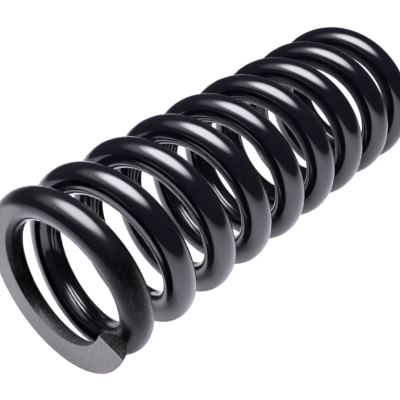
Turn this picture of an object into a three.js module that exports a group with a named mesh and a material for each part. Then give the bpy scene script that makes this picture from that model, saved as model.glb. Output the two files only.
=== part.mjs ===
// A helical compression spring for a coil-over strut: round wire, right-hand wound, both ends closed
// and ground flat. Millimetres, +Z along the axis. The spring stands on its bottom ground face, and the
// origin is the centre of that face. The bottom tip of the wire is at angle 0, and the wire climbs
// counter-clockwise, seen from above.
//
// The spring is one wire. It is divided here into a rigid end coil at each end and quarter-turn stretches
// between them. All the faces between stretches are radial planes that hold the axis, so each stretch can
// slide along the axis past the one below it as the spring is compressed.

import * as THREE from "three";

// Driving dimensions
const BORE_DIAMETER = 63.5;
const WIRE_DIAMETER = 15.6;
const FREE_LENGTH = 254;
const TOTAL_TURNS = 9.56;

// The lead of the wire at a tip, as a share of its lead in the middle of the spring, and the number of
// turns over which the one eases into the other
const TIP_LEAD = 0.31;
const EASING_TURNS = 1.39;

// The stretches that the wire is divided into
const ACTIVE_COILS = 7;
const STRETCHES_PER_COIL = 4;
const STRETCH_GAP = 0.35;

// Facets
const SECTION_SIDES = 14;
const DEGREES_PER_STEP = 11.5;

// Finish: gloss black paint over spring steel
const PAINT_COLOUR = 0x131216;
const PAINT_ROUGHNESS = 0.22;
const PAINT_METALNESS = 0;

// Worked out from the driving dimensions
const WIRE_RADIUS = WIRE_DIAMETER / 2;
const COIL_RADIUS = (BORE_DIAMETER + WIRE_DIAMETER) / 2;
const PITCH = FREE_LENGTH / (2 * leadTurns(TOTAL_TURNS / 2));
const END_COIL_TURNS = (TOTAL_TURNS - ACTIVE_COILS) / 2;
const GAP_TURNS = STRETCH_GAP / (2 * Math.PI * COIL_RADIUS);

// How far the wire has climbed, in pitches, at a number of turns from the tip. The wire's centre line is
// level with the ground face at the tip, so grinding leaves half of the wire there.
function leadTurns(turns) {
  const x = Math.min(turns / EASING_TURNS, 1);
  return turns - (1 - TIP_LEAD) * EASING_TURNS * (x - x ** 3 + x ** 4 / 2);
}

// Height of the wire's centre line above the bottom ground face, at a number of turns from the bottom tip
function wireHeight(turns) {
  if (turns <= TOTAL_TURNS / 2) {
    return PITCH * leadTurns(turns);
  }
  return FREE_LENGTH - PITCH * leadTurns(TOTAL_TURNS - turns);
}

// Half of the height of the wire's section in a radial plane, which cuts the climbing wire at a slant
function sectionHalfHeight(turns) {
  const climb = wireHeight(turns + 0.01) - wireHeight(turns - 0.01);
  const advance = 0.02 * 2 * Math.PI * COIL_RADIUS;
  return (WIRE_RADIUS * Math.hypot(climb, advance)) / advance;
}

// The wire's section before winding: a regular polygon of radius 1 with one side at the bottom
function sectionShape() {
  const points = [];
  for (let i = 0; i < SECTION_SIDES; i += 1) {
    const angle = -Math.PI / 2 + ((2 * i + 1) * Math.PI) / SECTION_SIDES;
    points.push(new THREE.Vector2(Math.cos(angle), Math.sin(angle)));
  }
  return new THREE.Shape(points);
}

// Where a corner of the section goes, as a distance outwards and upwards from the wire's centre line.
// Where the wire dips below a ground face, the corners close up along what is left of the outline, and
// the section's bottom side (for the top end coil, turned over, its top side) lies on the ground face.
function sectionCorner(corner, turns, isTopEnd) {
  const halfHeight = sectionHalfHeight(turns);
  const depth = isTopEnd ? FREE_LENGTH - wireHeight(turns) : wireHeight(turns);
  const widest = Math.PI / 2 - Math.PI / SECTION_SIDES;
  const belowCentre = Math.min(Math.asin(Math.min(depth / halfHeight, 1)), widest);
  const fromTop = Math.atan2(corner.x, corner.y);
  const share = (Math.PI / 2 + belowCentre) / (Math.PI / 2 + widest);
  const side = isTopEnd ? -1 : 1;
  return {
    outwards: side * WIRE_RADIUS * Math.sin(fromTop * share),
    upwards: side * halfHeight * Math.cos(fromTop * share),
  };
}

// A straight bar of the wire's section, wound onto the spring's helix between two places on the wire
function woundWire(from, to, isTopEnd) {
  const steps = Math.ceil(((to - from) * 360) / DEGREES_PER_STEP);
  const bar = new THREE.ExtrudeGeometry(sectionShape(), { depth: 1, steps, bevelEnabled: false });
  const corners = bar.getAttribute("position");
  const corner = new THREE.Vector3();
  for (let i = 0; i < corners.count; i += 1) {
    corner.fromBufferAttribute(corners, i);
    const turns = to - corner.z * (to - from);
    const { outwards, upwards } = sectionCorner(corner, turns, isTopEnd);
    const angle = turns * 2 * Math.PI;
    const radius = COIL_RADIUS + outwards;
    const height = wireHeight(turns) + upwards;
    corners.setXYZ(i, radius * Math.cos(angle), radius * Math.sin(angle), height);
  }
  bar.computeVertexNormals();
  return bar;
}

function wireStretch(name, from, to, isTopEnd = false) {
  const paint = new THREE.MeshStandardMaterial({
    color: PAINT_COLOUR,
    roughness: PAINT_ROUGHNESS,
    metalness: PAINT_METALNESS,
  });
  const mesh = new THREE.Mesh(woundWire(from, to, isTopEnd), paint);
  mesh.name = name;
  return mesh;
}

const spring = new THREE.Group();
spring.name = "coil_spring";

const activeStart = END_COIL_TURNS;
const activeEnd = TOTAL_TURNS - END_COIL_TURNS;

spring.add(wireStretch("bottom_end_coil", 0, activeStart - GAP_TURNS / 2));

for (let coil = 1; coil <= ACTIVE_COILS; coil += 1) {
  for (let quarter = 1; quarter <= STRETCHES_PER_COIL; quarter += 1) {
    const from = activeStart + coil - 1 + (quarter - 1) / STRETCHES_PER_COIL;
    const to = from + 1 / STRETCHES_PER_COIL;
    const name = `coil_${coil}_quarter_${quarter}`;
    spring.add(wireStretch(name, from + GAP_TURNS / 2, to - GAP_TURNS / 2));
  }
}

spring.add(wireStretch("top_end_coil", activeEnd + GAP_TURNS / 2, TOTAL_TURNS, true));

export default spring;
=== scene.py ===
"""A gloss black coil spring with closed and ground ends, shown as one continuous wire.

Every CAD stretch of the wire is replaced by a finely meshed piece with the true round section. The pieces
meet in radial planes. Lengths are in metres, and the spring stands on its bottom ground face with its axis
along Z.
"""

import bpy
import numpy as np
from mathutils import Matrix, Vector


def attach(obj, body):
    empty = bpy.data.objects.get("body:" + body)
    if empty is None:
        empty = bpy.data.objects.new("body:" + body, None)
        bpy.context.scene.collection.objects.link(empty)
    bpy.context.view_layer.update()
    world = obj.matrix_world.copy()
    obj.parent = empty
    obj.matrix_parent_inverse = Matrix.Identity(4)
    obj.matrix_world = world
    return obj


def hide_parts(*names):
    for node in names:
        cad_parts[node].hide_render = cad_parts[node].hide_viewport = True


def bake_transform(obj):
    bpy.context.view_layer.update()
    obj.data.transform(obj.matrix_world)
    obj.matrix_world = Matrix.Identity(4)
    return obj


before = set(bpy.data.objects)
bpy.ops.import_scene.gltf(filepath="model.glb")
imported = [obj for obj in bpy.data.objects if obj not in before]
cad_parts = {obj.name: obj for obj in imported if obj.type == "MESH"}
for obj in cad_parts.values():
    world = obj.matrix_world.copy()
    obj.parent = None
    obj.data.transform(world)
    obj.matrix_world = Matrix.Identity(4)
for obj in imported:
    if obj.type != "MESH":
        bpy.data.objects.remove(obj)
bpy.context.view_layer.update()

# The spring. The wire's lead at a tip is a share of its lead in the middle of the spring, and the one eases
# into the other over a number of turns.
BORE_DIAMETER = 0.0635
WIRE_DIAMETER = 0.0156
FREE_LENGTH = 0.254
TOTAL_TURNS = 9.56
TIP_LEAD = 0.31
EASING_TURNS = 1.39
ACTIVE_COILS = 7
STRETCHES_PER_COIL = 4

WIRE_RADIUS = WIRE_DIAMETER / 2
COIL_RADIUS = (BORE_DIAMETER + WIRE_DIAMETER) / 2
END_COIL_TURNS = (TOTAL_TURNS - ACTIVE_COILS) / 2
LENGTH_PER_TURN = 2 * np.pi * COIL_RADIUS

# The meshes. NARROWEST_STRIP is half of the ground strip's smallest width, as an angle in the section. The
# tip face's middle and reach are in wire radii, and TIP_CAP is its place in a piece's list of faces.
RINGS_PER_TURN = 96
SIDES = 40
EDGE_ROUNDING = 0.0003
NARROWEST_STRIP = 0.12
STRIP_POINTS = 13
TIP_MIDDLE = 0.42
TIP_REACH = 0.6
TIP_CAP = -2

# The finishes. The reliefs are depths of bump.
RELIEF = 0.00003
CUT_RELIEF = 0.00008
SCRATCH_ANGLE = 0.9

# The camera looks down on the top end and is rolled, so that the spring lies across the picture. RIGHT and
# UP are the picture's own directions, and BACK points from the scene to the camera.
RIGHT = Vector((-0.55588, -0.51234, -0.65461))
UP = Vector((0.83124, -0.33628, -0.44269))
BACK = Vector((0.00668, -0.79021, 0.6128))
CAMERA_PLACE = Vector((-0.0021, -0.32076, 0.40336))
LENS = 67.74
SENSOR_WIDTH = 36

# The studio: the spring lies on its side on a white table. ABOVE points straight up from the table, AWAY
# points along it from the camera, and MIDDLE is the middle of the spring.
ABOVE = Vector((0.67731, -0.7357, 0)).normalized()
AWAY = ABOVE.cross(RIGHT).normalized()
MIDDLE = Vector((0, 0, FREE_LENGTH / 2))
STUDIO_AXES = Matrix((RIGHT, AWAY, ABOVE)).transposed().to_4x4()
TABLE_RADIUS = 0.7
TABLE_GAP = 0.0005
FLOOR_SIZE = 8
BACKDROP_RADIUS = 4
SURROUNDINGS = (0.12, 0.117, 0.14, 1)


def lead_turns(turns):
    """How far the wire has climbed, in pitches, at a number of turns from its tip."""
    x = np.minimum(turns / EASING_TURNS, 1)
    return turns - (1 - TIP_LEAD) * EASING_TURNS * (x - x**3 + x**4 / 2)


PITCH = FREE_LENGTH / (2 * lead_turns(TOTAL_TURNS / 2))


def wire_height(turns):
    """Height of the wire's centre line, at a number of turns from the bottom tip."""
    lower = PITCH * lead_turns(turns)
    upper = FREE_LENGTH - PITCH * lead_turns(TOTAL_TURNS - turns)
    return np.where(turns <= TOTAL_TURNS / 2, lower, upper)


def half_height(turns):
    """Half of the height of the wire's section in a radial plane, which cuts the wire at a slant."""
    step = 0.01
    climb = wire_height(turns + step) - wire_height(turns - step)
    return WIRE_RADIUS * np.hypot(1, climb / (2 * step * LENGTH_PER_TURN))


def placed(turns, outwards, upwards):
    """Points in the frame, from offsets outwards and upwards from the wire's centre line."""
    angle = 2 * np.pi * turns
    radius = COIL_RADIUS + outwards
    height = wire_height(turns) + upwards
    return np.stack([radius * np.cos(angle), radius * np.sin(angle), height], axis=-1)


def on_wire(turns, around):
    """Points on the round wire. around is the angle in the section, from outermost over the top."""
    return placed(turns, WIRE_RADIUS * np.cos(around), half_height(turns) * np.sin(around))


def wire_normal(turns, around):
    """Outward normals of the round wire."""
    step = 0.001
    along = on_wire(turns + step, around) - on_wire(turns - step, around)
    across = on_wire(turns, around + step) - on_wire(turns, around - step)
    normal = np.cross(along, across)
    return normal / np.linalg.norm(normal, axis=-1, keepdims=True)


def wire_place(turns, outwards, upwards):
    """Where a point lies in the wire before it is wound: across it, up it and along it."""
    return np.stack([outwards, upwards, turns * LENGTH_PER_TURN], axis=-1)


def make_piece(name, points, normals, places, ground_depth=None):
    """A closed piece of wire, from rings of points with their normals and places in the wire."""
    rings, sides = points.shape[:2]
    index = np.arange(rings * sides).reshape(rings, sides)
    following = np.roll(index, -1, axis=1)
    quads = np.stack([index[:-1], index[1:], following[1:], following[:-1]], axis=-1)
    start_cap, end_cap = index[0], index[-1][::-1]
    faces = [*quads.reshape(-1, 4).tolist(), start_cap.tolist(), end_cap.tolist()]

    mesh = bpy.data.meshes.new(name)
    mesh.from_pydata(points.reshape(-1, 3).tolist(), [], faces)
    mesh.shade_smooth()

    corner_normals = normals.reshape(-1, 3)[quads.reshape(-1)]
    cap_normals = []
    for cap in (start_cap, end_cap):
        ring = points.reshape(-1, 3)[cap]
        normal = np.cross(ring[sides // 4] - ring[0], ring[sides // 2] - ring[0])
        cap_normals.append(np.tile(normal / np.linalg.norm(normal), (sides, 1)))
    mesh.normals_split_custom_set(np.concatenate([corner_normals, *cap_normals]).tolist())

    place = mesh.attributes.new("wire_place", "FLOAT_VECTOR", "POINT")
    place.data.foreach_set("vector", places.reshape(-1).astype(np.float32))
    if ground_depth is not None:
        depth = mesh.attributes.new("ground_depth", "FLOAT", "POINT")
        depth.data.foreach_set("value", ground_depth.reshape(-1).astype(np.float32))

    piece = bpy.data.objects.new(name, mesh)
    bpy.context.scene.collection.objects.link(piece)
    return piece


def round_stretch(name, start, end):
    """A stretch of the round wire between two places on it."""
    rings = round((end - start) * RINGS_PER_TURN) + 1
    turns = np.linspace(start, end, rings)[:, None]
    around = np.linspace(0, 2 * np.pi, SIDES, endpoint=False)[None, :]
    outwards = WIRE_RADIUS * np.cos(around) + 0 * turns
    upwards = half_height(turns) * np.sin(around)
    points = placed(turns, outwards, upwards)
    normals = wire_normal(turns + 0 * around, around + 0 * turns)
    return make_piece(name, points, normals, wire_place(turns + 0 * around, outwards, upwards))


def end_coil(name, is_top):
    """A rigid end coil: the wire from its tip, with whatever lies below the ground plane taken off.

    It is made as the bottom one. The top one is the same, turned over about a horizontal line.
    """
    steps = round(END_COIL_TURNS * RINGS_PER_TURN)
    turns = np.linspace(0, END_COIL_TURNS, steps + 1)
    turns = np.insert(turns, 1, EDGE_ROUNDING / LENGTH_PER_TURN)[:, None]
    depth = wire_height(turns)
    half = half_height(turns)

    # The flat strip reaches from edge to edge of the ground face, and past where that ends it stays as a
    # narrow strip along the bottom of the round wire
    flat = np.pi / 2 - np.arcsin(np.minimum(depth / half, 1))
    flat = np.maximum(flat, NARROWEST_STRIP)
    rounding = EDGE_ROUNDING / WIRE_RADIUS
    around = np.linspace(flat + rounding, 2 * np.pi - flat - rounding, SIDES, axis=1)[..., 0] - np.pi / 2
    edge = WIRE_RADIUS * np.sin(flat) - EDGE_ROUNDING
    strip = edge * np.linspace(-1, 1, STRIP_POINTS)[None, :]
    around = np.concatenate([around, -np.arccos(strip / WIRE_RADIUS)], axis=1)

    outwards = WIRE_RADIUS * np.cos(around)
    upwards = half * np.sin(around)
    ground_depth = -depth - upwards
    is_ground = (np.arange(around.shape[1]) >= SIDES) & (ground_depth > 0)
    normals = wire_normal(turns + 0 * around, around)
    normals[is_ground] = (0, 0, -1)
    upwards = np.where(is_ground, -depth, upwards)

    # The tip's edges are rounded: its outermost ring is drawn in a little and faces along the wire
    middle = TIP_MIDDLE * WIRE_RADIUS
    draw_in = 1 - EDGE_ROUNDING / (TIP_REACH * WIRE_RADIUS)
    outwards[0] = draw_in * outwards[0]
    upwards[0] = middle + draw_in * (upwards[0] - middle)
    normals[0] = (0, -1, 0)

    points = placed(turns, outwards, upwards)
    places = wire_place(turns + 0 * around, outwards, upwards)
    if is_top:
        line = np.array([np.cos(np.pi * TOTAL_TURNS), np.sin(np.pi * TOTAL_TURNS), 0])
        points = turned_over(points, line) + np.array([0, 0, FREE_LENGTH])
        normals = turned_over(normals, line)
        places = places * np.array([1, -1, -1]) + np.array([0, 0, TOTAL_TURNS * LENGTH_PER_TURN])
    return make_piece(name, points, normals, places, ground_depth)


def turned_over(vectors, line):
    """Vectors turned by half a turn about a line through the origin."""
    return 2 * (vectors @ line)[..., None] * line - vectors


# The pieces, from the bottom tip to the top one
bottom = end_coil("wire_bottom_end_coil", is_top=False)
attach(bottom, "bottom_end_coil")
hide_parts("bottom_end_coil")
wire = [bottom]

body_below = "bottom_end_coil"
for number in range(ACTIVE_COILS * STRETCHES_PER_COIL):
    coil, quarter = divmod(number, STRETCHES_PER_COIL)
    body = f"coil_{coil + 1}_quarter_{quarter + 1}"
    start = END_COIL_TURNS + number / STRETCHES_PER_COIL
    end = start + 1 / STRETCHES_PER_COIL
    stretch = round_stretch(f"wire_{body}", start, end)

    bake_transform(stretch)
    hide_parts(body)
    wire.append(stretch)
    body_below = body

top = end_coil("wire_top_end_coil", is_top=True)
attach(top, body_below)
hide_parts("top_end_coil")
wire.append(top)

camera_data = bpy.data.cameras.new("camera")
camera_data.lens = LENS
camera_data.sensor_width = SENSOR_WIDTH
camera = bpy.data.objects.new("camera", camera_data)
turned = Matrix((RIGHT, UP, BACK)).transposed().to_4x4()
camera.matrix_world = Matrix.Translation(CAMERA_PLACE) @ turned
bpy.context.scene.collection.objects.link(camera)
bpy.context.scene.camera = camera


class Looks:
    """A material with one Principled shader, and short ways to add the nodes that feed it."""

    def __init__(self, name):
        self.material = bpy.data.materials.new(name)
        self.material.use_nodes = True
        self.nodes = self.material.node_tree.nodes
        self.shader = self.nodes["Principled BSDF"]

    def set(self, node, inputs):
        """Gives a node's inputs, named or numbered, a value or another node's output."""
        for key, value in inputs.items():
            if isinstance(value, bpy.types.NodeSocket):
                self.material.node_tree.links.new(value, node.inputs[key])
            else:
                node.inputs[key].default_value = value

    def add(self, kind, inputs, output=0, **settings):
        """Adds a node with its inputs and settings, and gives one of its outputs."""
        node = self.nodes.new("ShaderNode" + kind)
        for name, value in settings.items():
            setattr(node, name, value)
        self.set(node, inputs)
        return node.outputs[output]

    def math(self, operation, first, second):
        return self.add("Math", {0: first, 1: second}, operation=operation)

    def noise(self, place, size, detail=2.0, stretch=(1, 1, 1)):
        """Noise from 0 to 1 with features of about a size in metres, longer where stretch is above 1."""
        scale = tuple(1 / (size * share) for share in stretch)
        scaled = self.add("VectorMath", {0: place, 1: scale}, operation="MULTIPLY")
        return self.add("TexNoise", {"Vector": scaled, "Scale": 1.0, "Detail": detail})

    def step(self, value, low, high, start=0.0, end=1.0):
        """A smooth step from start to end, as a value goes from low to high."""
        limits = {"Value": value, "From Min": low, "From Max": high, "To Min": start, "To Max": end}
        return self.add("MapRange", limits, interpolation_type="SMOOTHSTEP")

    def mix(self, share, first, second):
        """Two numbers mixed by a share."""
        return self.add("Mix", {0: share, 2: first, 3: second})

    def mix_colour(self, share, first, second):
        """Two colours mixed by a share."""
        first, second = ((*c, 1) if isinstance(c, tuple) else c for c in (first, second))
        return self.add("Mix", {0: share, 6: first, 7: second}, output=2, data_type="RGBA")

    def finish(self, colour, roughness, metallic, height, depth):
        """Joins up the shader. The height, from 0 to 1, becomes a relief of a depth in metres."""
        relief = self.add("Bump", {"Strength": 1.0, "Distance": depth, "Height": height})
        self.set(self.shader, {"Base Color": colour, "Roughness": roughness, "Metallic": metallic})
        self.set(self.shader, {"Normal": relief})
        return self.material


def paint_looks(looks, place):
    """Gloss black paint: its colour, roughness and height. It has flowed out in a soft orange peel, with
    the wire's fine drawn lines just showing through."""
    patches = looks.noise(place, 0.011, detail=3.0)
    peel = looks.noise(place, 0.0021, detail=1.0)
    lines = looks.noise(place, 0.0009, stretch=(1, 1, 40))
    dust = looks.step(looks.noise(place, 0.0004, detail=1.0), 0.66, 0.78)
    colour = looks.mix_colour(patches, (0.0004, 0.0003, 0.001), (0.0018, 0.0014, 0.0034))
    colour = looks.mix_colour(looks.math("MULTIPLY", dust, 0.3), colour, (0.02, 0.018, 0.02))
    roughness = looks.add("MapRange", {"Value": patches, "To Min": 0.08, "To Max": 0.17})
    roughness = looks.mix(dust, roughness, 0.25)
    height = looks.mix(0.3, peel, lines)
    return colour, roughness, height


def wire_looks():
    """The paint on the round wire between the end coils."""
    looks = Looks("black_paint")
    place = looks.add("Attribute", {}, output="Vector", attribute_name="wire_place")
    colour, roughness, height = paint_looks(looks, place)
    return looks.finish(colour, roughness, 0.0, height, depth=RELIEF)


def end_looks():
    """The end coils: gloss paint that is dry and dull in places, and a bare ground face."""
    looks = Looks("black_paint_end")
    place = looks.add("Attribute", {}, output="Vector", attribute_name="wire_place")
    colour, roughness, height = paint_looks(looks, place)

    # How many turns a point is from the top tip. Noise in it makes the edges of what depends on it uneven.
    along = looks.add("SeparateXYZ", {0: place}, output="Z")
    from_tip = looks.math("SUBTRACT", TOTAL_TURNS * LENGTH_PER_TURN, along)
    wander = looks.math("MULTIPLY", looks.noise(place, 0.009, detail=3.0), 0.025)
    turns = looks.math("ADD", looks.math("MULTIPLY", from_tip, 1 / LENGTH_PER_TURN), wander)

    # Dry paint is dull and brownish. It is on two stretches, with less of it between them.
    nearer = looks.step(turns, 0.58, 0.72, start=1.0, end=0.0)
    farther = looks.step(turns, 0.78, 0.9)
    stops = looks.step(turns, 1.08, 1.2, start=1.0, end=0.0)
    dry = looks.mix(looks.math("MAXIMUM", nearer, farther), 0.2, 1.0)
    dry = looks.math("MULTIPLY", dry, stops)
    grit = looks.noise(place, 0.0009, detail=3.0)
    grains = looks.step(grit, 0.46, 0.66)
    grit_colour = looks.mix_colour(grains, (0.0015, 0.001, 0.0015), (0.014, 0.011, 0.013))
    colour = looks.mix_colour(dry, colour, grit_colour)
    roughness = looks.mix(dry, roughness, 0.31)
    height = looks.mix(looks.math("MULTIPLY", dry, 0.5), height, grit)

    # Painted reflection on the inside of the coil, strongest at the tip: a lighter, speckled colour stands
    # in for the light that the inside reflects, and the paint there is rougher
    outwards = looks.add("SeparateXYZ", {0: place}, output="X")
    inside = looks.step(outwards, -0.7 * WIRE_RADIUS, 0.1 * WIRE_RADIUS, start=1.0, end=0.0)
    near_tip = looks.step(turns, 0.05, 0.45, start=1.0, end=0.0)
    inside_painted_reflection = looks.math("MULTIPLY", inside, near_tip)
    inside_painted_reflection_colour = looks.mix_colour(grains, (0.008, 0.006, 0.009), (0.075, 0.062, 0.08))
    colour = looks.mix_colour(inside_painted_reflection, colour, inside_painted_reflection_colour)
    roughness = looks.mix(inside_painted_reflection, roughness, 0.6)
    dull = looks.math("MULTIPLY", dry, looks.math("SUBTRACT", 1.0, inside_painted_reflection))

    # The ground face: fine straight scratches across it, faint warm and cool patches, and a bright edge. It
    # fades into the paint round its outline.
    ground_depth = looks.add("Attribute", {}, output="Fac", attribute_name="ground_depth")
    ragged = looks.math("MULTIPLY", looks.noise(place, 0.0012, detail=3.0), 0.00015)
    bare = looks.step(looks.math("SUBTRACT", ground_depth, ragged), -0.0006, 0.0007)
    flat_place = looks.add("TexCoord", {}, output="Object")
    turned_by = {"Vector": flat_place, "Angle": SCRATCH_ANGLE}
    slanted = looks.add("VectorRotate", turned_by, rotation_type="Z_AXIS")
    scratches = looks.noise(slanted, 0.00035, detail=3.0, stretch=(9, 1, 1))
    clouds = looks.noise(flat_place, 0.012, detail=3.0)
    patches = looks.step(clouds, 0.35, 0.65)
    steel = looks.mix_colour(patches, (0.128, 0.131, 0.122), (0.134, 0.128, 0.112))
    steel = looks.mix_colour(looks.step(scratches, 0.3, 0.7), steel, (0.092, 0.09, 0.083))
    edge = looks.step(from_tip, 0.0002, 0.0006, start=1.0, end=0.0)
    steel = looks.mix_colour(edge, steel, (0.17, 0.17, 0.17))
    colour = looks.mix_colour(bare, colour, steel)
    steel_roughness = looks.add("MapRange", {"Value": scratches, "To Min": 0.42, "To Max": 0.62})
    roughness = looks.mix(bare, roughness, steel_roughness)
    metallic = looks.mix(bare, looks.math("MULTIPLY", dull, 0.9), 0.6)
    height = looks.mix(bare, height, scratches)
    return looks.finish(colour, roughness, metallic, height, depth=RELIEF)


def cut_looks():
    """The wire's cut tip: dark, coarse and rough."""
    looks = Looks("cut_tip")
    place = looks.add("Attribute", {}, output="Vector", attribute_name="wire_place")
    grain = looks.noise(place, 0.0009, detail=4.0)
    grains = looks.step(grain, 0.46, 0.66)
    colour = looks.mix_colour(grains, (0.001, 0.0008, 0.001), (0.025, 0.021, 0.023))
    roughness = looks.add("MapRange", {"Value": grain, "To Min": 0.4, "To Max": 0.6})
    return looks.finish(colour, roughness, 0.7, grain, depth=CUT_RELIEF)


paint = wire_looks()
end_paint = end_looks()
cut_steel = cut_looks()
for piece in wire:
    if piece in (bottom, top):
        piece.data.materials.append(end_paint)
        piece.data.materials.append(cut_steel)
        piece.data.polygons[TIP_CAP].material_index = 1
    else:
        piece.data.materials.append(paint)


def vector_towards(rightwards, away, upwards):
    """A vector from its parts along the picture's right, away from the camera and above the table."""
    return rightwards * RIGHT + away * AWAY + upwards * ABOVE


def soft_panel(name, centre, half_sizes, radiance, core):
    """An elliptical light panel over the table. It glows evenly out to the share core of its half sizes and
    fades to nothing at its rim, and what lies behind it shines through."""
    bpy.ops.mesh.primitive_circle_add(vertices=64, radius=1, fill_type="NGON")
    panel = bpy.context.object
    panel.name = name
    shape = STUDIO_AXES @ Matrix.Diagonal((*half_sizes, 1, 1))
    panel.matrix_world = Matrix.Translation(MIDDLE + vector_towards(*centre)) @ shape

    looks = Looks(name)
    looks.nodes.remove(looks.shader)
    place = looks.add("TexCoord", {}, output="Object")
    distance = looks.add("VectorMath", {0: place}, output="Value", operation="LENGTH")
    strength = looks.step(distance, core, 1.0, start=radiance, end=0.0)
    light = looks.add("Emission", {"Color": (1, 0.985, 1.05, 1), "Strength": strength})
    clear = looks.add("BsdfTransparent", {})
    both = looks.add("AddShader", {0: light, 1: clear})
    looks.set(looks.nodes["Material Output"], {"Surface": both})
    panel.data.materials.append(looks.material)
    panel.visible_camera = False


def stage_surface(surface, name, reflects, glow):
    """Gives a surface round the spring its colour and its own soft glow."""
    looks = Looks(name)
    looks.set(looks.shader, {"Base Color": (*reflects, 1), "Roughness": 1.0, "Specular IOR Level": 0.0})
    looks.set(looks.shader, {"Emission Color": (1, 0.985, 1.02, 1), "Emission Strength": glow(looks)})
    surface.name = name
    surface.data.materials.append(looks.material)


def table_glow(looks):
    """A wide round patch of extra light on the table, to the right of the spring's middle."""
    place = looks.add("TexCoord", {}, output="Object")
    ends = {0: place, 1: (0.2, -0.08, 0)}
    distance = looks.add("VectorMath", ends, output="Value", operation="DISTANCE")
    return looks.step(distance, 0.0, 0.5, start=0.6, end=0.0)


def floor_glow(looks):
    """White where the camera looks, fading to pale grey on the softbox's side, behind the camera."""
    place = looks.add("TexCoord", {}, output="Object")
    ends = {0: place, 1: ABOVE}
    towards_light = looks.add("VectorMath", ends, output="Value", operation="DOT_PRODUCT")
    return looks.step(towards_light, 0.09, 0.7, start=1.05, end=0.56)


# The softbox with its wider glow, and the table, which the camera doesn't see
soft_panel("softbox", centre=(-0.065, -0.058, 0.4), half_sizes=(0.305, 0.25), radiance=17.0, core=0.42)
soft_panel("softbox_glow", centre=(-0.31, -0.08, 0.405), half_sizes=(0.6, 0.38), radiance=2.4, core=0.0)

bpy.ops.mesh.primitive_circle_add(vertices=64, radius=TABLE_RADIUS, fill_type="NGON")
table = bpy.context.object
drop = COIL_RADIUS + WIRE_RADIUS + TABLE_GAP
table.matrix_world = Matrix.Translation(MIDDLE - ABOVE * drop) @ STUDIO_AXES
table.visible_camera = False
stage_surface(table, "table", (0.8, 0.777, 0.846), table_glow)

# The plain pale floor and backdrop, which only the camera sees
bpy.ops.mesh.primitive_plane_add(size=FLOOR_SIZE)
floor = bpy.context.object
bpy.ops.mesh.primitive_uv_sphere_add(segments=64, ring_count=32, radius=BACKDROP_RADIUS)
backdrop = bpy.context.object
for name, surface in (("floor", floor), ("backdrop", backdrop)):
    for seen_by in ("visible_glossy", "visible_diffuse", "visible_shadow"):
        setattr(surface, seen_by, False)
    stage_surface(surface, name, (0, 0, 0), floor_glow)

world = bpy.data.worlds.new("studio")
world.use_nodes = True
world.node_tree.nodes["Background"].inputs["Color"].default_value = SURROUNDINGS
bpy.context.scene.world = world
bpy.context.scene.view_settings.view_transform = "Standard"
